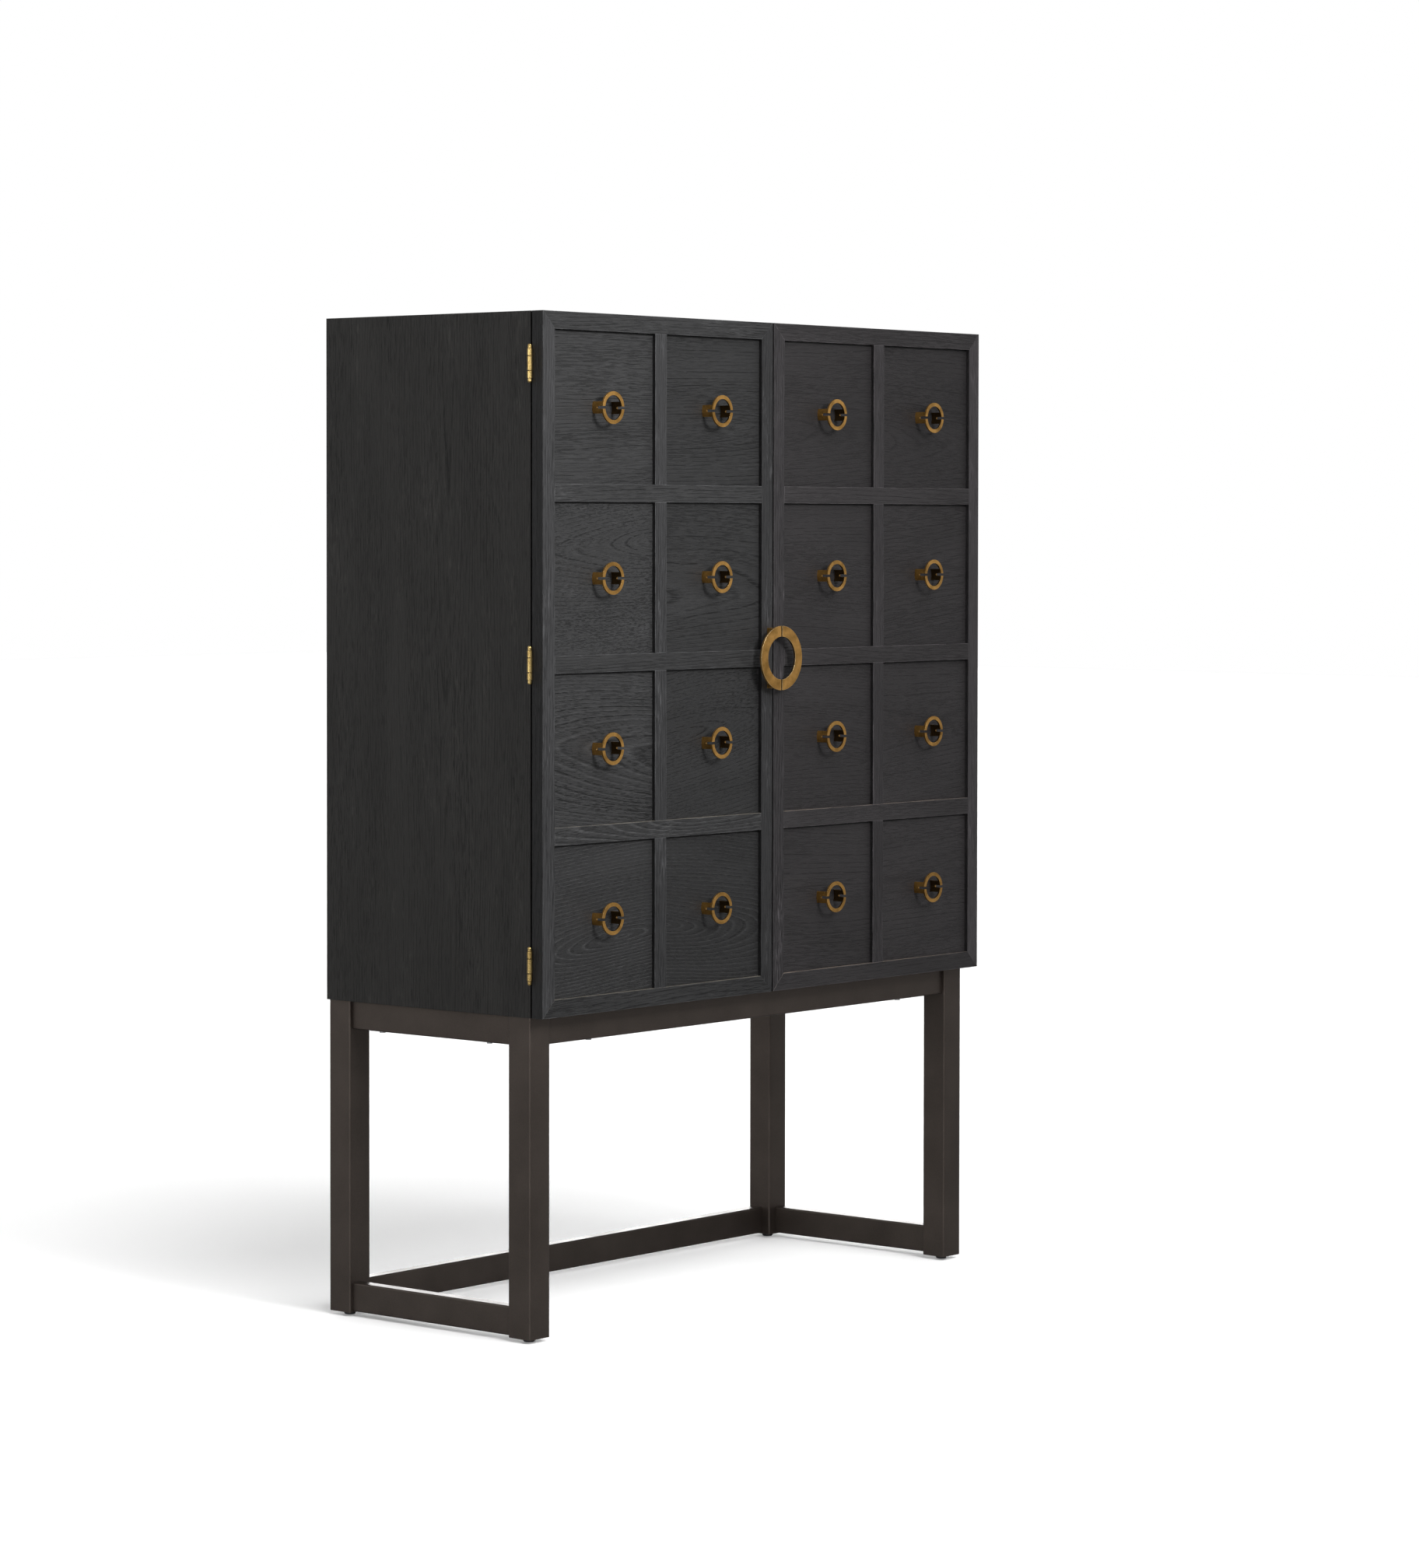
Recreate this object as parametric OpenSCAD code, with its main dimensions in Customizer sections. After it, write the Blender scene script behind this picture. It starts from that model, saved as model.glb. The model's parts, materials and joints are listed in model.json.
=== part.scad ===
// Two-door apothecary cabinet on a square-tube stand. The doors are dressed as sixteen drawer fronts.
// X runs to the right, Y to the back and Z up. The origin is on the floor under the middle of the whole.

/* [Case] */
// Width of the case
case_w = 1218; // [900:1:1600]
// Height of the case and of its doors
case_h = 1185; // [900:1:1500]
// Depth of the case behind the doors
case_d = 478; // [300:1:700]
// Thickness of the sides, top, bottom and divider
board_t = 22; // [18:0.5:30]
// Thickness of the back panel
back_t = 6; // [4:0.5:12]
// How far the back panel laps onto the boards round it
back_lap = 10; // [6:1:14]
// Thickness of the tongues that join the boards
tongue_t = 8; // [6:0.5:10]
// Length of the tongues that join the boards
tongue_d = 7; // [4:0.5:8]
// Distance from the front of the case to a stopped tongue
tongue_stop = 15; // [10:1:30]

/* [Shelves] */
// Number of shelves in each bay
shelf_count = 3; // [1:1:4]
// Thickness of a shelf
shelf_t = 18; // [12:1:25]
// Distance from the front of the case to a shelf
shelf_setback = 20; // [10:1:60]
// Diameter of a shelf pin
shelf_pin_d = 5; // [4:0.5:7]
// How far a shelf pin stands out of its hole
shelf_pin_out = 9; // [6:0.5:14]
// Depth of the holes for shelf pins
pin_hole_d = 8; // [6:0.5:8.5]
// Spacing of the spare pin holes above and below a shelf
pin_pitch = 32; // [25:1:40]
// Distance from a shelf's front and back edges to its pins
pin_inset = 45; // [30:1:80]

/* [Doors] */
// Thickness of a door
door_t = 24; // [20:0.5:35]
// Gap between the two doors
door_split = 3.4; // [2:0.1:6]
// Gap between a door and the case, which the hinge leaves fill
hinge_gap = 3.6; // [3:0.1:5]
// Width of every stile, rail and muntin
member_w = 30; // [24:0.5:45]
// Depth of the panels behind the face of a door
panel_recess = 7; // [4:0.5:9]
// Thickness of a panel
panel_t = 6; // [4:0.5:8]
// Depth of the grooves that hold the panels
groove_d = 6; // [4:0.5:8]

/* [Hinges] */
// Height of a hinge leaf
hinge_h = 50.8; // [40:0.1:76]
// Height of the middle knuckle, which belongs to the door
knuckle_h = 24.4; // [16:0.1:30]
// Outer diameter of a knuckle
barrel_d = 8.4; // [7.5:0.1:12]
// Diameter of a hinge pin
hinge_pin_d = 4; // [3:0.1:5]
// Width of a hinge leaf on the edge of the case
leaf_w = 18; // [16:0.5:20]
// Height of the ball tip at each end of a pin
tip_h = 7.3; // [6.5:0.1:10]
// Diameter of the ball tip
tip_d = 6.6; // [5.5:0.1:8]
// Distance from the end of a door to the middle of its nearest hinge
hinge_end = 88; // [60:1:150]
// Distance from the middle of a hinge to its screws
leaf_screw_z = 15; // [10:0.5:18]
// Length of a hinge screw
leaf_screw_l = 16; // [12:0.5:18]

/* [Knobs] */
// Diameter of a knob's ring
knob_d = 55.5; // [40:0.5:80]
// Width of the ring's flat face
knob_rim = 6.6; // [4:0.2:10]
// Thickness of the ring
knob_ring_t = 3; // [2:0.1:5]
// Height of the ring's face above the panel
knob_out = 24.5; // [20:0.5:35]
// Height of the two curved tabs that carry the ring
tab_h = 20.8; // [14:0.2:28]
// Thickness of a tab
tab_t = 3.4; // [3:0.1:4]
// Height of the slot that splits the ring and runs into the tabs
knob_slot = 4.6; // [3:0.1:6]
// Length of the slot from the ring's face
knob_slot_l = 14.5; // [10:0.5:17]

/* [Pull] */
// Diameter of the ring pull
pull_d = 114; // [90:1:150]
// Width of the pull's flat face
pull_rim = 19; // [16:0.5:24]
// Thickness of the pull's ring
pull_ring_t = 3.6; // [3:0.1:6]
// Height of the pull's face above the doors
pull_out = 20.5; // [16:0.5:35]
// Gap between the halves of the pull
pull_split = 3; // [2:0.1:5]
// Width of a post behind the pull
post_w = 13; // [9:0.5:16]
// Height of a post behind the pull
post_h = 12; // [9:0.5:14]

/* [Catches] */
// Width and height of a magnetic catch
catch_w = 14; // [10:1:16]
// Length of a magnetic catch
catch_l = 45; // [30:1:60]
// Thickness of a strike plate
strike_t = 0.8; // [0.5:0.1:1.2]

/* [Stand] */
// Length of a leg
leg_h = 545; // [200:1:800]
// Width of a leg's square tube
leg_w = 50; // [40:1:70]
// Height of the rails and stretchers
rail_h = 50; // [30:1:80]
// Thickness of the rails and stretchers
rail_t = 25; // [20:1:35]
// Wall of all the tubes
tube_wall = 2; // [1.5:0.1:3]
// Outer corner radius of all the tubes
tube_r = 3; // [2.2:0.1:4]
// How far the rails lie inside the legs' outer faces
rail_inset = 7; // [4:0.5:10]
// How far the legs lie inside the sides and the front of the case
stand_inset = 6; // [0:0.5:30]
// Height of the stretchers' underside above the end of the legs
stretcher_lift = 2; // [0:0.5:200]
// Diameter of a glide
glide_d = 20; // [15:0.5:35]
// Height of a glide under its leg
glide_h = 7; // [4:0.5:15]

/* [Hidden] */
$fn = 64;

// Finishes
ebony = [0.20, 0.20, 0.21];
ebony_side = [0.17, 0.165, 0.16];
ebony_panel = [0.235, 0.235, 0.24];
case_inside = [0.15, 0.14, 0.135];
bronze = [0.24, 0.215, 0.195];
black = [0.05, 0.05, 0.05];
antique_brass = [0.62, 0.45, 0.2];
bright_brass = [0.82, 0.68, 0.36];
zinc = [0.6, 0.6, 0.62];

// Clearances
cut = 1;
panel_play = 0.5;
groove_play = 0.3;
shelf_play = 1;
leaf_play = 0.4;
barrel_play = 0.1;
knuckle_play = 0.4;
pin_play = 0.05;
sweep_play = 0.4;
catch_play = 0.4;
catch_side_play = 2;
screw_play = 0.1;

// Small hardware
leaf_screw_r = 1.6;
leaf_screw_head_r = 3.1;
leaf_screw_inset = 10;
stud_r = 1.5;
stud_play = 0.2;
nut_t = 2.4;
nut_r = 3.2;
stud_end = 1;
pull_screw_r = 2;
pull_screw_head_r = 3.6;
pull_screw_head_t = 3;
pull_screw_grip = 8;
stand_screw_r = 2.5;
stand_screw_head_r = 5;
stand_screw_head_t = 3;
stand_screw_bite = 15;
stand_screw_end = 120;
end_plate_t = 4;
glide_stem_r = 4;
glide_stem_l = 22;
glide_edge = 1.5;
strike_w = 12;
tab_set_in = 0.6;
tip_bead_h = 3;
post_gap = 2;

// Places that the other sizes follow from
row_count = 4;
column_count = 2;
sides = [-1, 1];
stand_top = glide_h + leg_h;
case_top = stand_top + case_h;
front_out = max(pull_out, knob_out - panel_recess);
overall_d = front_out + door_t + hinge_gap + case_d;
door_y = front_out - overall_d / 2;
case_y = door_y + door_t + hinge_gap;
back_y = case_y + case_d;
inside_y = back_y - back_t;
door_w = (case_w - door_split) / 2;
cell_w = (door_w - (column_count + 1) * member_w) / column_count;
cell_h = (case_h - (row_count + 1) * member_w) / row_count;
groove_w = panel_t + groove_play;
barrel_r = barrel_d / 2;
hinge_pin_r = hinge_pin_d / 2;
pin_out = barrel_r + barrel_play;
pin_x = case_w / 2 + pin_out;
pin_y = door_y + door_t + hinge_gap / 2;
leaf_t = (hinge_gap - leaf_play) / 2;
hinge_heights = [hinge_end, case_h / 2, case_h - hinge_end];
knob_r = knob_d / 2;
tab_r = knob_r - tab_set_in;
stud_x = tab_r - tab_t / 2;
pull_r = pull_d / 2;
post_x = pull_split / 2 + post_gap;
post_z = pull_r - pull_rim / 2;
pull_screw_x = post_x + post_w / 2;
pull_screw_z = post_z;
stand_w = case_w - 2 * stand_inset;
stand_y = case_y + stand_inset;
stand_d = back_y - stand_y;
bay_w = (case_w - 3 * board_t) / 2;
bay_h = case_h - 2 * board_t;
compartment_h = (bay_h - shelf_count * shelf_t) / (shelf_count + 1);
shelf_bottoms = [for (k = [1:shelf_count]) stand_top + board_t + k * compartment_h + (k - 1) * shelf_t];
pin_heights = [for (z = shelf_bottoms) z - shelf_pin_d / 2];
pin_columns = [case_y + shelf_setback + pin_inset, inside_y - shelf_play - pin_inset];

// ---------- Shared shapes ----------

// A box given by two opposite corners
module block(low, high) {
    translate(low)
        cube(high - low);
}

// A square with round corners, in the XY plane, with one corner at the origin
module round_rectangle(size, r) {
    translate([r, 0])
        square([size[0] - 2 * r, size[1]]);
    translate([0, r])
        square([size[0], size[1] - 2 * r]);
    for (x = [r, size[0] - r])
        for (y = [r, size[1] - r])
            translate([x, y])
                circle(r);
}

// The section of a tube
module tube_section(size) {
    difference() {
        round_rectangle(size, tube_r);
        translate([tube_wall, tube_wall])
            round_rectangle([size[0] - 2 * tube_wall, size[1] - 2 * tube_wall], tube_r - tube_wall);
    }
}

// A plate in a door's plane: the outline is drawn in X and Z, and it is as thick as the door
module door_plate(points) {
    translate([0, door_t, 0])
        rotate([90, 0, 0])
            linear_extrude(door_t)
                polygon(points);
}

// A cylinder that runs to the back from the point given
module along_y(place, r, h) {
    translate(place)
        rotate([-90, 0, 0])
            cylinder(r = r, h = h);
}

// Puts a door's own piece in place. Its frame starts at the hinge edge, the face and the bottom of the door.
module on_door(side) {
    translate([side * case_w / 2, door_y, stand_top])
        mirror([side > 0 ? 1 : 0, 0, 0])
            children();
}

// Puts a hinge's piece in place. Its frame starts at the middle of the pin, with X towards the door.
module on_hinges(side) {
    for (z = hinge_heights)
        translate([side * pin_x, pin_y, stand_top + z])
            mirror([side > 0 ? 1 : 0, 0, 0])
                children();
}

// ---------- Stand ----------

module leg(x_side, y_side) {
    x = x_side < 0 ? -stand_w / 2 : stand_w / 2 - leg_w;
    y = y_side < 0 ? stand_y : back_y - leg_w;
    color(bronze)
        translate([x, y, glide_h])
            linear_extrude(leg_h)
                tube_section([leg_w, leg_w]);
}

// The place of the middle of each leg
function leg_middles() = [
    for (x = sides)
        for (y = [stand_y + leg_w / 2, back_y - leg_w / 2])
            [x * (stand_w - leg_w) / 2, y]
];

// A tube that runs in Y between two legs, with its underside at z
module side_tube(side, z) {
    length = stand_d - 2 * leg_w;
    x = side < 0 ? -stand_w / 2 + rail_inset : stand_w / 2 - rail_inset - rail_t;
    translate([x, stand_y + leg_w + length, z])
        rotate([90, 0, 0])
            linear_extrude(length)
                tube_section([rail_t, rail_h]);
}

// A tube that runs in X between two legs, with its front at y and its underside at z
module cross_tube(y, z) {
    length = stand_w - 2 * leg_w;
    translate([-length / 2, y, z])
        rotate([90, 0, 90])
            linear_extrude(length)
                tube_section([rail_t, rail_h]);
}

// The screws that hold the case down, which pass up through the top rails
function stand_screw_places() = [
    for (x = sides)
        for (y = [stand_y + rail_inset + rail_t / 2, back_y - rail_inset - rail_t / 2])
            [x * (stand_w / 2 - leg_w - stand_screw_end), y],
    for (x = sides)
        for (y = [stand_y + leg_w + stand_screw_end / 2, back_y - leg_w - stand_screw_end / 2])
            [x * (stand_w / 2 - rail_inset - rail_t / 2), y]
];

module stand_screw_shanks() {
    for (place = stand_screw_places())
        translate([place[0], place[1], stand_top - rail_h])
            cylinder(r = stand_screw_r, h = rail_h + stand_screw_bite);
}

module side_rail(side) {
    color(bronze)
        difference() {
            side_tube(side, stand_top - rail_h);
            stand_screw_shanks();
        }
}

module cross_rail_tube(y) {
    color(bronze)
        difference() {
            cross_tube(y, stand_top - rail_h);
            stand_screw_shanks();
        }
}

module stretcher(side) {
    color(bronze)
        side_tube(side, glide_h + stretcher_lift);
}

module stretcher_back() {
    color(bronze)
        cross_tube(back_y - rail_inset - rail_t, glide_h + stretcher_lift);
}

module stand_screws() {
    color(zinc) {
        stand_screw_shanks();
        for (place = stand_screw_places())
            translate([place[0], place[1], stand_top - rail_h - stand_screw_head_t])
                cylinder(r = stand_screw_head_r, h = stand_screw_head_t);
    }
}

// Plates that close the ends of the legs and take the glides' stems
module leg_end_plates() {
    size = leg_w - 2 * tube_wall;
    color(bronze)
        for (place = leg_middles())
            translate([place[0], place[1], glide_h])
                difference() {
                    translate([-size / 2, -size / 2, 0])
                        linear_extrude(end_plate_t)
                            round_rectangle([size, size], tube_r - tube_wall);
                    cylinder(r = glide_stem_r, h = 3 * end_plate_t, center = true);
                }
}

module glides() {
    color(black)
        for (place = leg_middles())
            translate([place[0], place[1], 0]) {
                cylinder(r1 = glide_d / 2 - glide_edge, r2 = glide_d / 2, h = glide_edge);
                translate([0, 0, glide_edge])
                    cylinder(r = glide_d / 2, h = glide_h - glide_edge);
                translate([0, 0, glide_h])
                    cylinder(r = glide_stem_r, h = glide_stem_l);
            }
}

// ---------- Case ----------

// The holes for shelf pins in one face. The face is at x, and they go into the board on its side given.
module pin_holes(x, side) {
    for (y = pin_columns)
        for (z = pin_heights)
            for (step = [-1:1])
                translate([x, y, z + step * pin_pitch])
                    rotate([0, 90 * side, 0])
                        cylinder(d = shelf_pin_d, h = pin_hole_d);
}

// The tongues at the ends of the divider and of the top and bottom, or the grooves for them
module level_tongue(z, x_from, x_to) {
    middle = z + board_t / 2;
    block([x_from, case_y + tongue_stop, middle - tongue_t / 2], [x_to, inside_y, middle + tongue_t / 2]);
}

module upright_tongue(z_from, z_to) {
    block([-tongue_t / 2, case_y + tongue_stop, z_from], [tongue_t / 2, inside_y, z_to]);
}

// The room for the back panel, open to the back by the amount given
module back_room(extra) {
    reach = case_w / 2 - board_t + back_lap;
    block([-reach, inside_y, stand_top + board_t - back_lap],
          [reach, back_y + extra, case_top - board_t + back_lap]);
}

module side_board(side) {
    inner = case_w / 2 - board_t;
    low = side < 0 ? -case_w / 2 : inner;
    tongue_from = side < 0 ? -inner - tongue_d : inner;
    color(ebony_side)
        difference() {
            block([low, case_y, stand_top], [low + board_t, back_y, case_top]);
            back_room(cut);
            for (z = [stand_top, case_top - board_t])
                level_tongue(z, tongue_from, tongue_from + tongue_d);
            pin_holes(side * inner, side);
            case_screw_shanks();
            stand_screw_shanks();
        }
}

// The top or the bottom board, whose underside is at z
module level_board(z) {
    inner = case_w / 2 - board_t;
    divider_face = z > stand_top ? z : z + board_t - tongue_d;
    color(ebony_side)
        difference() {
            union() {
                block([-inner, case_y, z], [inner, back_y, z + board_t]);
                level_tongue(z, -inner - tongue_d, -inner);
                level_tongue(z, inner, inner + tongue_d);
            }
            back_room(cut);
            upright_tongue(divider_face, divider_face + tongue_d);
            stand_screw_shanks();
        }
}

module back_panel() {
    color(case_inside)
        back_room(0);
}

module divider() {
    color(case_inside)
        difference() {
            union() {
                block([-board_t / 2, case_y, stand_top + board_t],
                      [board_t / 2, inside_y, case_top - board_t]);
                upright_tongue(stand_top + board_t - tongue_d, case_top - board_t + tongue_d);
            }
            pin_holes(board_t / 2, -1);
            pin_holes(-board_t / 2, 1);
        }
}

module shelves() {
    color(case_inside)
        for (bay = sides)
            for (z = shelf_bottoms)
                translate([bay * (board_t + bay_w) / 2, 0, 0])
                    block([-bay_w / 2 + shelf_play, case_y + shelf_setback, z],
                          [bay_w / 2 - shelf_play, inside_y - shelf_play, z + shelf_t]);
}

// Four pins under each shelf, two in the divider and two in the side
module shelf_pins() {
    length = pin_hole_d + shelf_pin_out;
    color(bright_brass)
        for (bay = sides)
            for (wall = sides)
                for (y = pin_columns)
                    for (z = pin_heights)
                        translate([bay * (board_t + bay_w) / 2 + wall * (bay_w / 2 + pin_hole_d), y, z])
                            rotate([0, -90 * wall, 0])
                                cylinder(d = shelf_pin_d, h = length);
}

// The middle of a catch or a strike plate, from the middle of the case
catch_x = board_t / 2 + catch_side_play + catch_w / 2;
catch_middles = [stand_top + board_t + catch_w / 2, case_top - board_t - catch_w / 2];
catch_out = hinge_gap - strike_t - catch_play;

module catches() {
    color(zinc)
        for (x = sides)
            for (z = catch_middles)
                translate([x * catch_x, case_y - catch_out, z])
                    block([-catch_w / 2, 0, -catch_w / 2], [catch_w / 2, catch_l, catch_w / 2]);
}

// ---------- Hinges ----------

// One knuckle between two heights
module knuckle(z_from, z_to) {
    translate([0, 0, z_from])
        difference() {
            cylinder(r = barrel_r, h = z_to - z_from);
            translate([0, 0, -cut])
                cylinder(r = hinge_pin_r + pin_play, h = z_to - z_from + 2 * cut);
        }
}

// The strip of leaf that joins its plate to one knuckle
module leaf_root(y_from, z_from, z_to) {
    wall_middle = (hinge_pin_r + pin_play + barrel_r) / 2;
    block([wall_middle, y_from, z_from], [barrel_r + 2 * sweep_play, y_from + leaf_t, z_to]);
}

module leaf_plate(y_from) {
    block([barrel_r + sweep_play, y_from, -hinge_h / 2], [pin_out + leaf_w, y_from + leaf_t, hinge_h / 2]);
}

// A countersunk screw. It points along +Y from the face of its leaf.
module leaf_screw(play) {
    rotate([-90, 0, 0])
        cylinder(r1 = leaf_screw_head_r, r2 = leaf_screw_r, h = leaf_t);
    along_y([0, 0, 0], leaf_screw_r + play, leaf_screw_l);
}

module case_leaf_screws_at(play) {
    for (z = [-leaf_screw_z, leaf_screw_z])
        translate([pin_out + leaf_screw_inset, leaf_play / 2, z])
            leaf_screw(play);
}

module case_screw_shanks() {
    for (side = sides)
        on_hinges(side)
            case_leaf_screws_at(0);
}

module case_hinge_leaves() {
    outer_from = knuckle_h / 2 + knuckle_play;
    color(bright_brass)
        for (side = sides)
            on_hinges(side)
                difference() {
                    union() {
                        leaf_plate(leaf_play / 2);
                        leaf_root(leaf_play / 2, outer_from, hinge_h / 2);
                        leaf_root(leaf_play / 2, -hinge_h / 2, -outer_from);
                        knuckle(outer_from, hinge_h / 2);
                        knuckle(-hinge_h / 2, -outer_from);
                    }
                    case_leaf_screws_at(screw_play);
                }
}

module case_hinge_screws() {
    color(bright_brass)
        case_screw_shanks();
}

module hinge_pins() {
    neck = tip_h - tip_d / 2;
    color(bright_brass)
        for (side = sides)
            on_hinges(side) {
                cylinder(r = hinge_pin_r, h = hinge_h + 2 * neck, center = true);
                for (end = [0, 1])
                    mirror([0, 0, end])
                        translate([0, 0, hinge_h / 2]) {
                            cylinder(d = tip_d, h = tip_bead_h);
                            translate([0, 0, neck])
                                sphere(d = tip_d);
                        }
            }
}

module door_leaf_screws_at(play) {
    mirror([0, 1, 0])
        case_leaf_screws_at(play);
}

module door_hinge_leaves(side) {
    color(bright_brass)
        on_hinges(side)
            difference() {
                union() {
                    leaf_plate(-leaf_play / 2 - leaf_t);
                    leaf_root(-leaf_play / 2 - leaf_t, -knuckle_h / 2, knuckle_h / 2);
                    knuckle(-knuckle_h / 2, knuckle_h / 2);
                }
                door_leaf_screws_at(screw_play);
            }
}

module door_hinge_screws(side) {
    color(bright_brass)
        on_hinges(side)
            door_leaf_screws_at(0);
}

// ---------- Doors ----------

function rail_z(k) = k * (member_w + cell_h);
function cell_x(column) = member_w + column * (member_w + cell_w);
function cell_z(row) = member_w + (row_count - row) * (member_w + cell_h);
function cell_middle(column, row) = [cell_x(column) + cell_w / 2, 0, cell_z(row) + cell_h / 2];

// The groove for the panels, between two corners of the door's plane
module groove(low, high) {
    block([low[0], panel_recess, low[1]], [high[0], panel_recess + groove_w, high[1]]);
}

// The groove round the inner edge of the mitred outer frame
module frame_groove() {
    inset = member_w - groove_d;
    groove([inset, inset], [door_w - inset, case_h - inset]);
}

// One upright of the mitred frame. It is drawn at the hinge edge.
module stile_blank() {
    door_plate([[0, 0], [member_w, member_w], [member_w, case_h - member_w], [0, case_h]]);
}

module hinge_stile(side) {
    color(ebony)
        difference() {
            on_door(side)
                difference() {
                    stile_blank();
                    frame_groove();
                }
            on_hinges(side)
                door_leaf_screws_at(0);
        }
}

module pull_screw(play) {
    shank = door_t - pull_screw_head_t + pull_screw_grip;
    along_y([0, -pull_screw_grip, 0], pull_screw_r + play, shank);
    along_y([0, door_t - pull_screw_head_t, 0], pull_screw_head_r + play, pull_screw_head_t);
}

module pull_screws_at(play) {
    for (end = sides)
        translate([door_w + door_split / 2 - pull_screw_x, 0, case_h / 2 + end * pull_screw_z])
            pull_screw(play);
}

module meeting_stile(side) {
    color(ebony)
        on_door(side)
            difference() {
                translate([door_w, 0, 0])
                    mirror([1, 0, 0])
                        stile_blank();
                frame_groove();
                pull_screws_at(0);
            }
}

// One level member of the mitred frame. It is drawn at the bottom.
module rail_blank() {
    door_plate([[0, 0], [door_w, 0], [door_w - member_w, member_w], [member_w, member_w]]);
}

module bottom_rail(side) {
    color(ebony)
        on_door(side)
            difference() {
                rail_blank();
                frame_groove();
            }
}

module top_rail(side) {
    color(ebony)
        on_door(side)
            difference() {
                translate([0, 0, case_h])
                    mirror([0, 0, 1])
                        rail_blank();
                frame_groove();
            }
}

// The rails between the rows run from stile to stile and end in stub tenons
module cross_rails(side) {
    color(ebony)
        on_door(side)
            for (k = [1:row_count - 1])
                translate([0, 0, rail_z(k)]) {
                    difference() {
                        block([member_w, 0, 0], [door_w - member_w, door_t, member_w]);
                        groove([0, -cut], [door_w, groove_d]);
                        groove([0, member_w - groove_d], [door_w, member_w + cut]);
                    }
                    groove([member_w - groove_d, groove_d],
                           [door_w - member_w + groove_d, member_w - groove_d]);
                }
}

// The short uprights between the columns end in stub tenons in the rails
module muntins(side) {
    x = cell_x(1) - member_w;
    color(ebony)
        on_door(side)
            for (row = [1:row_count])
                translate([x, 0, cell_z(row)]) {
                    difference() {
                        block([0, 0, 0], [member_w, door_t, cell_h]);
                        groove([-cut, -cut], [groove_d, cell_h + cut]);
                        groove([member_w - groove_d, -cut], [member_w + cut, cell_h + cut]);
                    }
                    groove([groove_d, -groove_d], [member_w - groove_d, cell_h + groove_d]);
                }
}

// The threaded studs of one knob, or the holes for them. Its frame starts on the face of the panel.
module knob_studs(play) {
    for (x = [-stud_x, stud_x])
        along_y([x, -tab_t, 0], stud_r + play, tab_t + panel_t + nut_t + stud_end);
}

module panels(side) {
    reach = groove_d - panel_play;
    color(ebony_panel)
        on_door(side)
            for (row = [1:row_count])
                for (column = [0:column_count - 1])
                    difference() {
                        translate([cell_x(column), panel_recess, cell_z(row)])
                            block([-reach, 0, -reach], [cell_w + reach, panel_t, cell_h + reach]);
                        translate(cell_middle(column, row) + [0, panel_recess, 0])
                            knob_studs(stud_play);
                    }
}

// ---------- Knobs and pull ----------

// The ring and the two curved tabs behind it, before the slot is cut. It stands on the panel, towards -Y.
module knob_blank() {
    difference() {
        along_y([0, -knob_out, 0], knob_r, knob_ring_t);
        along_y([0, -knob_out - cut, 0], knob_r - knob_rim, knob_ring_t + 2 * cut);
    }
    intersection() {
        difference() {
            along_y([0, -knob_out + knob_ring_t / 2, 0], tab_r, knob_out - knob_ring_t / 2);
            along_y([0, -knob_out - cut, 0], tab_r - tab_t, knob_out + 2 * cut);
        }
        block([-knob_r, -knob_out, -tab_h / 2], [knob_r, 0, tab_h / 2]);
    }
}

// The slot across the ring, with a round end inside the tabs
module knob_slot_room() {
    straight = knob_slot_l - knob_slot / 2;
    block([-knob_r - cut, -knob_out - cut, -knob_slot / 2],
          [knob_r + cut, -knob_out + straight, knob_slot / 2]);
    translate([-knob_r - cut, -knob_out + straight, 0])
        rotate([0, 90, 0])
            cylinder(d = knob_slot, h = knob_d + 2 * cut);
}

module knob() {
    difference() {
        knob_blank();
        knob_slot_room();
    }
    knob_studs(0);
}

module knob_row(side, row) {
    color(antique_brass)
        on_door(side)
            for (column = [0:column_count - 1])
                translate(cell_middle(column, row) + [0, panel_recess, 0])
                    knob();
}

module knob_nuts(side) {
    color(zinc)
        on_door(side)
            for (row = [1:row_count])
                for (column = [0:column_count - 1])
                    translate(cell_middle(column, row) + [0, panel_recess + panel_t, 0])
                        for (x = [-stud_x, stud_x])
                            difference() {
                                translate([x, 0, 0])
                                    rotate([-90, 0, 0])
                                        cylinder(r = nut_r, h = nut_t, $fn = 6);
                                along_y([x, -cut, 0], stud_r, nut_t + 2 * cut);
                            }
}

// Half of the ring pull, on two posts. Its frame starts at the middle of the ring, on the doors' face.
module pull_half() {
    difference() {
        along_y([0, -pull_out, 0], pull_r, pull_ring_t);
        along_y([0, -pull_out - cut, 0], pull_r - pull_rim, pull_ring_t + 2 * cut);
        block([-pull_split / 2, -pull_out - cut, -pull_r - cut], [pull_r + cut, 0, pull_r + cut]);
    }
    for (end = sides)
        translate([-post_x - post_w, 0, end * post_z - post_h / 2])
            block([0, -pull_out + pull_ring_t / 2, 0], [post_w, 0, post_h]);
}

module pull(side) {
    color(antique_brass)
        on_door(side)
            difference() {
                translate([door_w + door_split / 2, 0, case_h / 2])
                    pull_half();
                pull_screws_at(0);
            }
}

module pull_screws(side) {
    color(zinc)
        on_door(side)
            pull_screws_at(0);
}

// Steel plates on the back of a door, which the catches pull on
module strikes(side) {
    color(zinc)
        for (z = catch_middles)
            translate([side * catch_x, door_y + door_t, z])
                block([-strike_w / 2, 0, -strike_w / 2], [strike_w / 2, strike_t, strike_w / 2]);
}

// ---------- Nodes ----------

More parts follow.
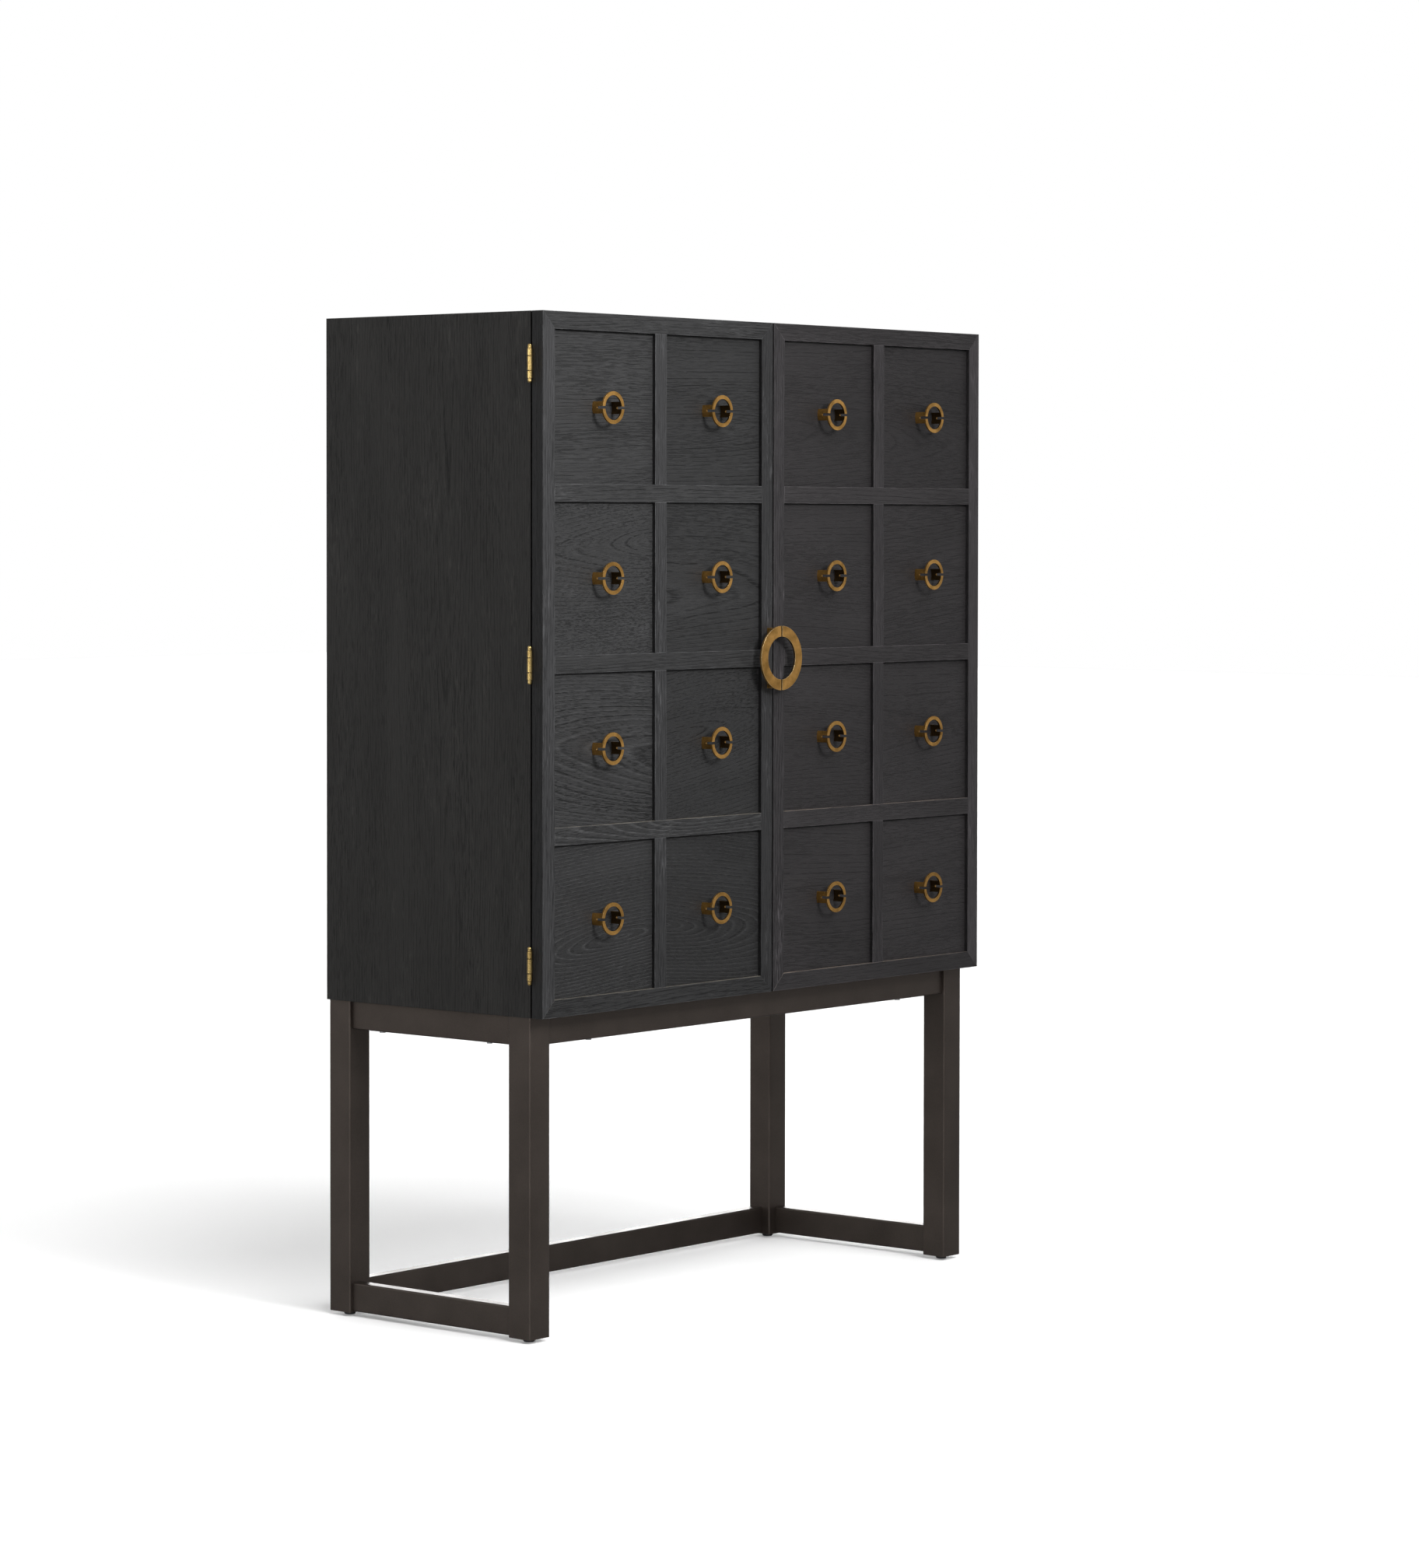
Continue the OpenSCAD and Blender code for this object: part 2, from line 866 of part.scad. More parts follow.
leg(-1, -1);  // leg_front_left
leg(1, -1);  // leg_front_right
leg(-1, 1);  // leg_back_left
leg(1, 1);  // leg_back_right
cross_rail_tube(stand_y + rail_inset);  // rail_front
cross_rail_tube(back_y - rail_inset - rail_t);  // rail_back
side_rail(-1);  // rail_left
side_rail(1);  // rail_right
stretcher(-1);  // stretcher_left
stretcher(1);  // stretcher_right
stretcher_back();
leg_end_plates();
glides();
stand_screws();
side_board(-1);  // side_left
side_board(1);  // side_right
level_board(case_top - board_t);  // top_board
level_board(stand_top);  // bottom_board
back_panel();
divider();
shelves();
shelf_pins();
catches();
case_hinge_leaves();
case_hinge_screws();
hinge_pins();
hinge_stile(-1);  // left_hinge_stile
meeting_stile(-1);  // left_meeting_stile
top_rail(-1);  // left_top_rail
bottom_rail(-1);  // left_bottom_rail
cross_rails(-1);  // left_cross_rails
muntins(-1);  // left_muntins
panels(-1);  // left_panels
knob_row(-1, 1);  // left_knobs_row_1
knob_row(-1, 2);  // left_knobs_row_2
knob_row(-1, 3);  // left_knobs_row_3
knob_row(-1, 4);  // left_knobs_row_4
knob_nuts(-1);  // left_knob_nuts
pull(-1);  // left_pull
pull_screws(-1);  // left_pull_screws
door_hinge_leaves(-1);  // left_hinge_leaves
door_hinge_screws(-1);  // left_hinge_screws
strikes(-1);  // left_strikes
hinge_stile(1);  // right_hinge_stile
meeting_stile(1);  // right_meeting_stile
top_rail(1);  // right_top_rail
bottom_rail(1);  // right_bottom_rail
cross_rails(1);  // right_cross_rails
muntins(1);  // right_muntins
panels(1);  // right_panels
knob_row(1, 1);  // right_knobs_row_1
knob_row(1, 2);  // right_knobs_row_2
knob_row(1, 3);  // right_knobs_row_3
knob_row(1, 4);  // right_knobs_row_4
knob_nuts(1);  // right_knob_nuts
pull(1);  // right_pull
pull_screws(1);  // right_pull_screws
door_hinge_leaves(1);  // right_hinge_leaves
door_hinge_screws(1);  // right_hinge_screws
strikes(1);  // right_strikes
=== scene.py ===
"""Looks for the apothecary cabinet: ebonised oak case and doors, brass fittings and a dark bronze stand.

Every visible piece is made from the solid of its CAD node, with eased edges, and rides on the same body.
Wood carries the coordinates of the log that it was sawn from, so that the grain runs through each board.
"""

import json
import math
import random

import bmesh
import bpy
from mathutils import Matrix, Vector

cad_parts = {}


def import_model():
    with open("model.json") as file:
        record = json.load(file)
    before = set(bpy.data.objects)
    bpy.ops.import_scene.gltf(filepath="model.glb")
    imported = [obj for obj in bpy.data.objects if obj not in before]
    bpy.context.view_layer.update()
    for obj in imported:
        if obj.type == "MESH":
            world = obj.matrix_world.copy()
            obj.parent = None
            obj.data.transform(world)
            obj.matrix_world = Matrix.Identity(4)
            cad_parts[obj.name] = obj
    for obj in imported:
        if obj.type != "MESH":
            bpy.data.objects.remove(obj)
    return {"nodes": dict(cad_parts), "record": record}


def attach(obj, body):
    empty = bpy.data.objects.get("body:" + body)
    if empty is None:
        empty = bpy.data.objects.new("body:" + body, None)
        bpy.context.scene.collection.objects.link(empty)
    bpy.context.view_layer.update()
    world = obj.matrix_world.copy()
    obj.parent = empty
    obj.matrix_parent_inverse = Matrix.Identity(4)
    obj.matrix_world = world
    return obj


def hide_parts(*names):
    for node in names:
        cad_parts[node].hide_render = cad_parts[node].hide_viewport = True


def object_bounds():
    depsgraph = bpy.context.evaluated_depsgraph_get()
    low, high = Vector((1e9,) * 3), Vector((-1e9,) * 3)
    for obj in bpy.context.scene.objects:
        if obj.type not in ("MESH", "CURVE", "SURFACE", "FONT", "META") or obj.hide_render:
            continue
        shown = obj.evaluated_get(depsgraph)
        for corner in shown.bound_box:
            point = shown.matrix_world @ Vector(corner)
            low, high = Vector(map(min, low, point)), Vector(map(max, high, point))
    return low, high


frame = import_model()
cad_low, cad_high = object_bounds()

MM = 0.001
BODIES = frame["record"]["behaviour"]["bodies"]
BODY_OF_NODE = {node: body for body, nodes in BODIES.items() for node in nodes}
AXES = {"x": Vector((1, 0, 0)), "y": Vector((0, 1, 0)), "z": Vector((0, 0, 1))}

# ---------- Meshes ----------

WELD = 1e-6
FLAT_ANGLE = math.radians(0.5)
SHARP_ANGLE = math.radians(28)
SMOOTH_ANGLE = math.radians(40)


def welded(node):
    """A CAD node's mesh with its coincident corners merged and its flat faces joined."""
    mesh = bmesh.new()
    mesh.from_mesh(frame["nodes"][node].data)
    bmesh.ops.remove_doubles(mesh, verts=mesh.verts, dist=WELD)
    bmesh.ops.dissolve_limit(mesh, angle_limit=FLAT_ANGLE, verts=mesh.verts, edges=mesh.edges)
    return mesh


def islands(mesh):
    """The faces of each separate solid in a mesh."""
    left = set(mesh.faces)
    found = []
    while left:
        start = min(left, key=lambda face: face.index)
        island = {start}
        waiting = [start]
        while waiting:
            face = waiting.pop()
            near = {f for e in face.edges for f in e.link_faces} - island
            island |= near
            waiting.extend(near)
        left -= island
        found.append(sorted(island, key=lambda face: face.index))
    return found


def solids_of(node):
    """One bmesh for each separate solid of a CAD node, from the bottom up and from left to right."""
    whole = welded(node)
    whole.faces.index_update()
    made = []
    for faces in islands(whole):
        solid = bmesh.new()
        verts = {}
        for face in faces:
            for vert in face.verts:
                if vert not in verts:
                    verts[vert] = solid.verts.new(vert.co)
            solid.faces.new([verts[vert] for vert in face.verts])
        made.append(solid)
    whole.free()
    return sorted(made, key=lambda solid: [round(v, 3) for v in middle_of(solid).zxy])


def middle_of(mesh):
    """The middle of a mesh's box."""
    corners = [vert.co for vert in mesh.verts]
    low = Vector([min(corner[i] for corner in corners) for i in range(3)])
    high = Vector([max(corner[i] for corner in corners) for i in range(3)])
    return (low + high) / 2


def cut_level(mesh, height):
    """Cuts the faces that cross a height."""
    whole = mesh.verts[:] + mesh.edges[:] + mesh.faces[:]
    bmesh.ops.bisect_plane(mesh, geom=whole, dist=WELD, plane_co=(0, 0, height), plane_no=(0, 0, 1))


def ease_edges(mesh, width, segments=2):
    """Rounds the sharp edges, and marks the new faces with the face attribute edge."""
    mark = mesh.faces.layers.float.new("edge")
    mesh.normal_update()
    sharp = [e for e in mesh.edges if len(e.link_faces) == 2 and e.calc_face_angle() > SHARP_ANGLE]
    result = bmesh.ops.bevel(mesh, geom=sharp, offset=width, offset_type="OFFSET", segments=segments,
                             profile=0.5, affect="EDGES", clamp_overlap=True)
    for face in result["faces"]:
        face[mark] = 1.0


def finish_piece(mesh, name, node, material):
    """Turns a bmesh into a piece that stands for its CAD node and rides on that node's body."""
    mesh.normal_update()
    data = bpy.data.meshes.new(name)
    mesh.to_mesh(data)
    mesh.free()
    data.polygons.foreach_set("use_smooth", [True] * len(data.polygons))
    data.set_sharp_from_angle(angle=SMOOTH_ANGLE)
    data.materials.append(material)
    piece = bpy.data.objects.new(name, data)
    bpy.context.scene.collection.objects.link(piece)
    normals = piece.modifiers.new("flat faces", "WEIGHTED_NORMAL")
    normals.keep_sharp = True
    normals.weight = 100
    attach(piece, BODY_OF_NODE[node])
    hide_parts(node)
    return piece


# ---------- Shader helpers ----------


class Nodes:
    """Builds the nodes of one tree. A value given to a socket is a number, a colour or another socket."""

    def __init__(self, tree):
        self.tree = tree
        self.tree.nodes.clear()

    def add(self, kind, **settings):
        node = self.tree.nodes.new("ShaderNode" + kind)
        for key, value in settings.items():
            setattr(node, key, value)
        return node

    def put(self, socket, value):
        if isinstance(value, bpy.types.NodeSocket):
            self.tree.links.new(value, socket)
        else:
            socket.default_value = value

    def put_all(self, node, values):
        """Fills a node's first sockets in their order."""
        for socket, value in zip(node.inputs, values):
            self.put(socket, value)

    def math(self, operation, *values):
        node = self.add("Math", operation=operation)
        self.put_all(node, values)
        return node.outputs[0]

    def vector(self, operation, *values):
        node = self.add("VectorMath", operation=operation)
        self.put_all(node, values)
        return node.outputs["Value"] if operation in ("LENGTH", "DOT_PRODUCT") else node.outputs[0]

    def span(self, value, from_low, from_high, to_low, to_high, **settings):
        """A value carried from one range to another, and kept within it."""
        node = self.add("MapRange", **settings)
        self.put_all(node, (value, from_low, from_high, to_low, to_high))
        return node.outputs[0]


class Shader(Nodes):
    """The nodes of one material, round a Principled shader."""

    def __init__(self, name):
        self.material = bpy.data.materials.new(name)
        self.material.use_nodes = True
        super().__init__(self.material.node_tree)
        self.surface = self.add("BsdfPrincipled")
        output = self.add("OutputMaterial")
        self.tree.links.new(self.surface.outputs[0], output.inputs["Surface"])

    def set(self, **values):
        """Sets the shader's own sockets, whose names have spaces for underscores."""
        for key, value in values.items():
            self.put(self.surface.inputs[key.replace("_", " ")], value)

    def attribute(self, name, output="Vector"):
        return self.add("Attribute", attribute_name=name).outputs[output]

    def place(self):
        return self.add("TexCoord").outputs["Object"]

    def noise(self, vector, stretch, detail=2.0, roughness=0.5, output="Fac"):
        """Noise of the given frequencies per metre along the three axes."""
        node = self.add("TexNoise")
        self.put(node.inputs["Vector"], self.vector("MULTIPLY", vector, stretch))
        node.inputs["Scale"].default_value = 1.0
        node.inputs["Detail"].default_value = detail
        node.inputs["Roughness"].default_value = roughness
        return node.outputs[output]

    def even_noise(self, vector, frequency, **kinds):
        """Noise of the same frequency along the three axes."""
        return self.noise(vector, (frequency, frequency, frequency), **kinds)

    def ramp(self, value, *stops):
        """A colour or grey for a value, from (place, colour) stops."""
        node = self.add("ValToRGB")
        elements = node.color_ramp.elements
        while len(elements) < len(stops):
            elements.new(1.0)
        for element, (where, colour) in zip(elements, stops):
            element.position = where
            element.color = (*colour, 1.0) if isinstance(colour, tuple) else (colour, colour, colour, 1.0)
        self.put(node.inputs["Fac"], value)
        return node.outputs["Color"]

    def mix(self, factor, a, b):
        """Colour a where the factor is 0 and colour b where it is 1."""
        node = self.add("Mix", data_type="RGBA")
        self.put(node.inputs[0], factor)
        for socket, value in zip((node.inputs[6], node.inputs[7]), (a, b)):
            self.put(socket, (*value, 1.0) if isinstance(value, tuple) else value)
        return node.outputs[2]

    def blended(self, a, b, share):
        """The given share of a and the rest of b."""
        return self.math("ADD", self.math("MULTIPLY", a, share), self.math("MULTIPLY", b, 1 - share))

    def bump(self, height, distance):
        node = self.add("Bump")
        node.inputs["Strength"].default_value = 1.0
        node.inputs["Distance"].default_value = distance
        self.put(node.inputs["Height"], height)
        return node.outputs[0]


# ---------- Oak ----------

RING_WIDTH = 6 * MM
# How far the growth rings wander from true circles, in long waves and in short ripples
WAVES = 60 * MM
RIPPLES = 6 * MM
PORE_DEPTH = 0.6 * MM
SMOOTH_OAK = 0.45
ROUGH_OAK = 0.65
# How fully each mark covers the wood, and its colour as a multiple of the wood's own
PORE_COVER, PORE_TONE = 0.95, 0.1
# Pale threads: rubbed stain, and painted highlights beside the rows of pores
RUB_AND_HIGHLIGHT_COVER, RUB_AND_HIGHLIGHT_TONE = 0.85, 2.8
# Painted shade on the narrow sides of uprights, and painted shadow in a strip under each rail
PAINTED_SHADE_COVER, PAINTED_SHADE_TONE = 0.85, 0.15
# Pale eased edges: rubbed wear, and a painted highlight along the arrises
EDGE_TONE = 3.2
# Painted light on the upward-facing ledges of the lower openings
LIT_LEDGE_OAK = (0.26, 0.23, 0.18)


def times(factor, colour):
    return tuple(factor * value for value in colour)


def growth_rings(s, log):
    """How far through its growth ring each point is, from 0 to 1, and how strongly that ring shows."""
    centred = (0.5, 0.5, 0.5)
    slow = s.vector("SUBTRACT", s.noise(log, (1.2, 5.0, 5.0), detail=1.0, output="Color"), centred)
    quick = s.vector("SUBTRACT", s.noise(log, (5.0, 26.0, 26.0), output="Color"), centred)
    pushed = s.vector("ADD", log, s.vector("MULTIPLY", slow, (0.0, WAVES, WAVES)))
    pushed = s.vector("ADD", pushed, s.vector("MULTIPLY", quick, (0.0, RIPPLES, RIPPLES)))
    from_pith = s.vector("LENGTH", s.vector("MULTIPLY", pushed, (0.0, 1.0, 1.0)))
    rings = s.math("DIVIDE", from_pith, RING_WIDTH)
    per_ring = s.add("TexWhiteNoise", noise_dimensions="1D")
    s.put(per_ring.inputs["W"], s.math("FLOOR", rings))
    return s.math("FRACT", rings), s.span(per_ring.outputs["Value"], 0.0, 1.0, 0.3, 1.0)


def dashes(s, log, frequencies, low, high, **kinds):
    """Short dashes along the log, where noise rises from low to high."""
    return s.span(s.noise(log, frequencies, **kinds), low, high, 0.0, 1.0)


def open_pores(s, log, phase, ring_strength):
    """Dark open pores: a row where each ring starts, and finer ones everywhere."""
    row = s.ramp(phase, (0.0, 0.0), (0.08, 1.0), (0.2, 0.8), (0.34, 0.0))
    broken_row = s.math("MULTIPLY", row, dashes(s, log, (26.0, 400.0, 400.0), 0.44, 0.54, detail=3.0))
    fine = dashes(s, log, (32.0, 620.0, 620.0), 0.52, 0.60)
    patches = s.span(s.noise(log, (3.0, 18.0, 18.0)), 0.35, 0.65, 0.25, 1.0)
    fine = s.math("MULTIPLY", s.math("MULTIPLY", fine, patches), 0.7)
    return s.math("MAXIMUM", s.math("MULTIPLY", broken_row, ring_strength), fine)


def rubbed_and_lit_threads(s, log, phase, line_strength, patch_strength):
    """Pale threads: painted highlights in lines beside the rows of pores, on the lit side of their grooves,
    and rubbed stain in rough patches.
    """
    threads = dashes(s, log, (38.0, 400.0, 400.0), 0.50, 0.62, detail=3.0, roughness=0.6)
    # Painted highlight: a pale line just after each row of pores, the lit side of its groove
    beside = s.ramp(phase, (0.25, 0.0), (0.36, 1.0), (0.44, 0.8), (0.6, 0.0))
    lines = s.math("MULTIPLY", beside, s.span(threads, 0.0, 1.0, 0.3, 0.8))
    rough = s.span(s.noise(log, (7.0, 30.0, 30.0)), 0.56, 0.66, 0.1, 0.9)
    patches = s.math("MULTIPLY", s.math("MULTIPLY", rough, threads), patch_strength)
    return s.math("MAXIMUM", patches, s.math("MULTIPLY", lines, line_strength))


def handled(s, log, colour, ground, pale):
    """Oak with painted shade on narrow sides and under rails, pale edges of rubbed wear with a painted
    highlight, painted light on ledges, and each board's own tone.
    """
    # Painted shade: narrow sides of uprights and the strip under each rail are made nearly black
    painted_shade = s.math("MULTIPLY", s.attribute("painted_shade", "Fac"), PAINTED_SHADE_COVER)
    colour = s.mix(painted_shade, colour, times(PAINTED_SHADE_TONE, ground))
    # Pale edges: rubbed wear, and a painted highlight along the arrises
    uneven = s.span(s.noise(log, (30.0, 90.0, 90.0)), 0.35, 0.65, 0.2, 0.9)
    colour = s.mix(s.math("MULTIPLY", s.attribute("edge", "Fac"), uneven), colour, times(EDGE_TONE, pale))
    # Painted light: upward-facing ledges are made pale
    uneven = s.span(s.even_noise(log, 9.0), 0.3, 0.6, 0.3, 1.0)
    colour = s.mix(s.math("MULTIPLY", s.attribute("lit_ledge", "Fac"), uneven), colour, LIT_LEDGE_OAK)
    return s.vector("MULTIPLY", colour, s.attribute("stain"))


def oak(name, ground, pale, dark=1.0, light=1.0):
    """Stained open-pore oak: growth rings round the pith, long pores along the log, and pale threads of rubbed
    stain and painted highlights.

    dark and light are how strongly the pores and the pale threads show. A board's attribute stain is its
    tone, and figure is the strength of its dark pores, its painted pale lines and its rubbed rough patches.
    """
    s = Shader(name)
    log = s.attribute("log")
    figure = s.add("SeparateXYZ")
    s.put(figure.inputs[0], s.attribute("figure"))
    phase, ring_strength = growth_rings(s, log)
    pores = open_pores(s, log, phase, ring_strength)
    rubs_and_highlights = rubbed_and_lit_threads(s, log, phase, figure.outputs["Y"], figure.outputs["Z"])
    cloud = s.noise(log, (3.0, 12.0, 12.0), detail=3.0)
    fibre = s.noise(log, (40.0, 1500.0, 1500.0))
    tone = s.blended(cloud, fibre, 0.55)
    colour = s.mix(s.span(tone, 0.3, 0.7, 0.0, 1.0), ground, pale)
    stained_pores = s.math("MULTIPLY", pores, s.math("MULTIPLY", figure.outputs["X"], PORE_COVER * dark))
    colour = s.mix(stained_pores, colour, times(PORE_TONE, ground))
    # Pale threads: rubbed stain, and painted highlights beside the pore rows
    colour = s.mix(s.math("MULTIPLY", rubs_and_highlights, RUB_AND_HIGHLIGHT_COVER * light), colour, times(RUB_AND_HIGHLIGHT_TONE, pale))
    s.set(Base_Color=handled(s, log, colour, ground, pale), Specular_IOR_Level=0.3)
    s.set(Roughness=s.span(s.math("SUBTRACT", tone, pores), 0.0, 0.7, ROUGH_OAK, SMOOTH_OAK))
    s.set(Normal=s.bump(s.math("SUBTRACT", s.math("MULTIPLY", fibre, 0.35), pores), PORE_DEPTH))
    return s.material


# Uprights are paler than rails and panels: a painted sheen for the light that their upright grain catches
upright_oak = oak("ebonised oak, uprights", (0.027, 0.027, 0.028), (0.045, 0.045, 0.047), light=0.8)
level_oak = oak("ebonised oak, rails", (0.022, 0.022, 0.0225), (0.038, 0.038, 0.039), light=0.4)
panel_oak = oak("ebonised oak, panels", (0.022, 0.022, 0.0225), (0.036, 0.036, 0.037), light=0.25)
side_oak = oak("ebonised oak, case", (0.0135, 0.0127, 0.0116), (0.0212, 0.020, 0.0183), light=0.5)
inside_oak = oak("ebonised oak, inside", (0.012, 0.0115, 0.011), (0.020, 0.019, 0.018), dark=0.5, light=0.3)

# ---------- Boards ----------

BOARD_EASE = 0.7 * MM
# The cosine from which a face counts as a board's narrow side, or as a level ledge
NARROW_SIDE = 0.9
LEDGE = 0.6
LEDGES_BELOW = 0.95
# How deep a panel's top stands in its rail, and the strip below the rail that is painted dark as its shadow
PANEL_IN_GROOVE = 5.5 * MM
PAINTED_SHADOW_HEIGHT = 3.4 * MM
PAINTED_SHADOW_MARK = 0.95

# The dark pores, pale lines and rough patches on the two doors
LEFT_FIGURE = (1.0, 0.7, 1.0)
RIGHT_FIGURE = (0.4, 0.2, 0.4)
NEUTRAL = (1.0, 1.0, 1.0)
WARM = (1.06, 0.97, 0.99)
# Boards with a figure of their own: how far the pith lies aside and behind in mm, and its tilt in degrees
SPECIAL_BOARDS = {
    "side_left_oak": {"pith": (-48, 34), "tilt": (0.2, 0.7)},
    "left_panel_2_1_oak": {"pith": (52, 22), "tilt": (2, 9)},
    "left_panel_3_1_oak": {"pith": (-12, 60), "tilt": (-3, 5), "figure": (1.3, 2.2, 1.2)},
    "left_panel_3_2_oak": {"pith": (20, 20), "tilt": (9, -10)},
    "left_panel_4_1_oak": {"pith": (-38, 18), "tilt": (4, 9), "figure": (0.6, 3.6, 0.8)},
    "left_panel_4_2_oak": {"pith": (-34, 24), "tilt": (-5, -8), "figure": (0.6, 2.6, 0.8)},
    "left_cross_rail_3_oak": {"pith": (4, 22), "tilt": (0.5, 4), "figure": (0.8, 2.6, 1.2)},
    "right_meeting_stile_oak": {"figure": (1.0, 1.0, 1.4)},
}
# The tone of boards that took the stain lighter or darker, 1 being the colour of their material
STAINS = {
    "left_hinge_stile_oak": 0.96,
    "left_meeting_stile_oak": 0.64,
    "left_bottom_rail_oak": 0.87,
    "left_cross_rail_3_oak": 1.02,
    "left_muntin_1_oak": 0.85,
    "left_muntin_2_oak": 0.88,
    "left_muntin_3_oak": 0.84,
    "left_muntin_4_oak": 0.80,
    "left_panel_1_2_oak": 0.80,
    "left_panel_2_1_oak": 1.08,
    "left_panel_2_2_oak": 0.83,
    "left_panel_3_1_oak": 1.10,
    "left_panel_3_2_oak": 0.83,
    "left_panel_4_1_oak": 0.90,
    "left_panel_4_2_oak": 0.75,
    "right_hinge_stile_oak": 1.40,
    "right_meeting_stile_oak": 0.74,
    "right_muntin_1_oak": 0.82,
    "right_muntin_2_oak": 0.80,
    "right_muntin_3_oak": 0.80,
    "right_muntin_4_oak": 0.78,
    "right_panel_1_1_oak": 0.75,
    "right_panel_1_2_oak": 0.79,
    "right_panel_2_1_oak": 0.82,
    "right_panel_2_2_oak": 0.88,
    "right_panel_3_1_oak": 0.86,
    "right_panel_3_2_oak": 0.92,
    "right_panel_4_1_oak": 0.88,
}


def random_figure(name, depth=(25, 80), side=(60, 260), lean=1.2):
    """How a board was sawn from its log, chosen from its name. Lengths are in mm and the lean in degrees."""
    draw = random.Random("figure " + name)
    pith = (draw.choice((-1, 1)) * draw.uniform(*side) * MM, draw.uniform(*depth) * MM)
    tilt = (math.radians(draw.uniform(-lean, lean)), math.radians(draw.uniform(-lean, lean)))
    return pith, tilt


def log_coordinates(mesh, grain, face, pith, tilt, seed):
    """For each corner of a board: how far along its log, and where across it from the pith.

    pith is how far the pith lies to the side of the board's middle and how far behind its face, in metres.
    tilt is how much the log's axis leans to the side and into the board, in radians.
    """
    along = AXES[grain]
    out = AXES[face]
    side = out.cross(along)
    middle = middle_of(mesh)
    start = random.Random(seed).uniform(0.0, 40.0)
    lean = Matrix.Rotation(tilt[0], 3, "Z") @ Matrix.Rotation(tilt[1], 3, "Y")
    found = []
    for vert in mesh.verts:
        place = vert.co - middle
        local = lean @ Vector((place.dot(along), place.dot(side), place.dot(out)))
        found.append(local + Vector((start, pith[0], pith[1])))
    return found


def cut_painted_shadow_line(mesh):
    """Cuts a panel's faces where the painted shadow under its upper rail ends. Returns that height."""
    top = max(vert.co.z for vert in mesh.verts) - PANEL_IN_GROOVE - PAINTED_SHADOW_HEIGHT
    cut_level(mesh, top)
    mesh.normal_update()
    return top


def mark_lit_ledges(mesh):
    """Marks the narrow upward-facing ledges under a door's lower openings, on their front side, for painted
    light.
    """
    mark = mesh.faces.layers.float.new("lit_ledge")
    mesh.normal_update()
    middle = middle_of(mesh)
    for face in mesh.faces:
        place = face.calc_center_median()
        if face.normal.z > LEDGE and place.z < LEDGES_BELOW and place.y < middle.y:
            face[mark] = 1.0


def painted_shade_marks(mesh, grain, face, painted_shadow_above):
    """For each face, how strong its painted shade is: on an upright's narrow sides, and as painted shadow
    above the line.
    """
    side = AXES[face].cross(AXES[grain])
    marks = []
    for polygon in mesh.faces:
        narrow = grain == "z" and abs(polygon.normal.dot(side)) > NARROW_SIDE
        in_painted_shadow = polygon.calc_center_median().z > painted_shadow_above
        # Painted shade on narrow sides, and painted shadow above the line
        marks.append(max(float(narrow), PAINTED_SHADOW_MARK * in_painted_shadow))
    return marks


def board(node, name, mesh, slot, material, grain, face, pith, tilt, stain, figure):
    """One board with its grain."""
    ease_edges(mesh, BOARD_EASE)
    # Rails get painted light on their upward-facing ledges
    if slot == "frame_oak" and grain == "x":
        mark_lit_ledges(mesh)
    # Panels get a strip of painted shadow under their upper rail
    painted_shadow_above = cut_painted_shadow_line(mesh) if slot == "panel_oak" else cad_high.z
    coordinates = log_coordinates(mesh, grain, face, pith, tilt, name)
    painted_shade_faces = painted_shade_marks(mesh, grain, face, painted_shadow_above)
    piece = finish_piece(mesh, name, node, material)
    corners = len(piece.data.vertices)
    attributes = piece.data.attributes
    attributes.new("log", "FLOAT_VECTOR", "POINT").data.foreach_set(
        "vector", [value for place in coordinates for value in place])
    attributes.new("stain", "FLOAT_VECTOR", "POINT").data.foreach_set("vector", list(stain) * corners)
    attributes.new("figure", "FLOAT_VECTOR", "POINT").data.foreach_set("vector", list(figure) * corners)
    attributes.new("painted_shade", "FLOAT", "FACE").data.foreach_set("value", painted_shade_faces)


def boards(node, names, slot, material, grain, face, **sawing):
    """The boards of one node. Each has its own figure and tone, and those of the right door are warmer."""
    for name, mesh in zip(names, solids_of(node), strict=True):
        pith, tilt = random_figure(name, **sawing)
        special = SPECIAL_BOARDS.get(name, {})
        if "pith" in special:
            pith = [value * MM for value in special["pith"]]
            tilt = [math.radians(value) for value in special["tilt"]]
        tone = STAINS.get(name, random.Random("stain " + name).uniform(0.94, 1.04))
        on_right = name.startswith("right_")
        stain = times(tone, WARM if on_right else NEUTRAL)
        figure = special.get("figure", RIGHT_FIGURE if on_right else LEFT_FIGURE)
        board(node, name, mesh, slot, material, grain, face, pith, tilt, stain, figure)


def door_boards(side):
    for part in ("hinge_stile", "meeting_stile"):
        boards(f"{side}_{part}", [f"{side}_{part}_oak"], "frame_oak", upright_oak, "z", "y")
    for part in ("top_rail", "bottom_rail"):
        boards(f"{side}_{part}", [f"{side}_{part}_oak"], "frame_oak", level_oak, "x", "y")
    names = [f"{side}_cross_rail_{row}_oak" for row in (3, 2, 1)]
    boards(f"{side}_cross_rails", names, "frame_oak", level_oak, "x", "y")
    names = [f"{side}_muntin_{row}_oak" for row in (4, 3, 2, 1)]
    boards(f"{side}_muntins", names, "frame_oak", upright_oak, "z", "y")
    names = [f"{side}_panel_{row}_{column}_oak" for row in (4, 3, 2, 1) for column in (1, 2)]
    boards(f"{side}_panels", names, "panel_oak", panel_oak, "x", "y", side=(0, 60), lean=4)


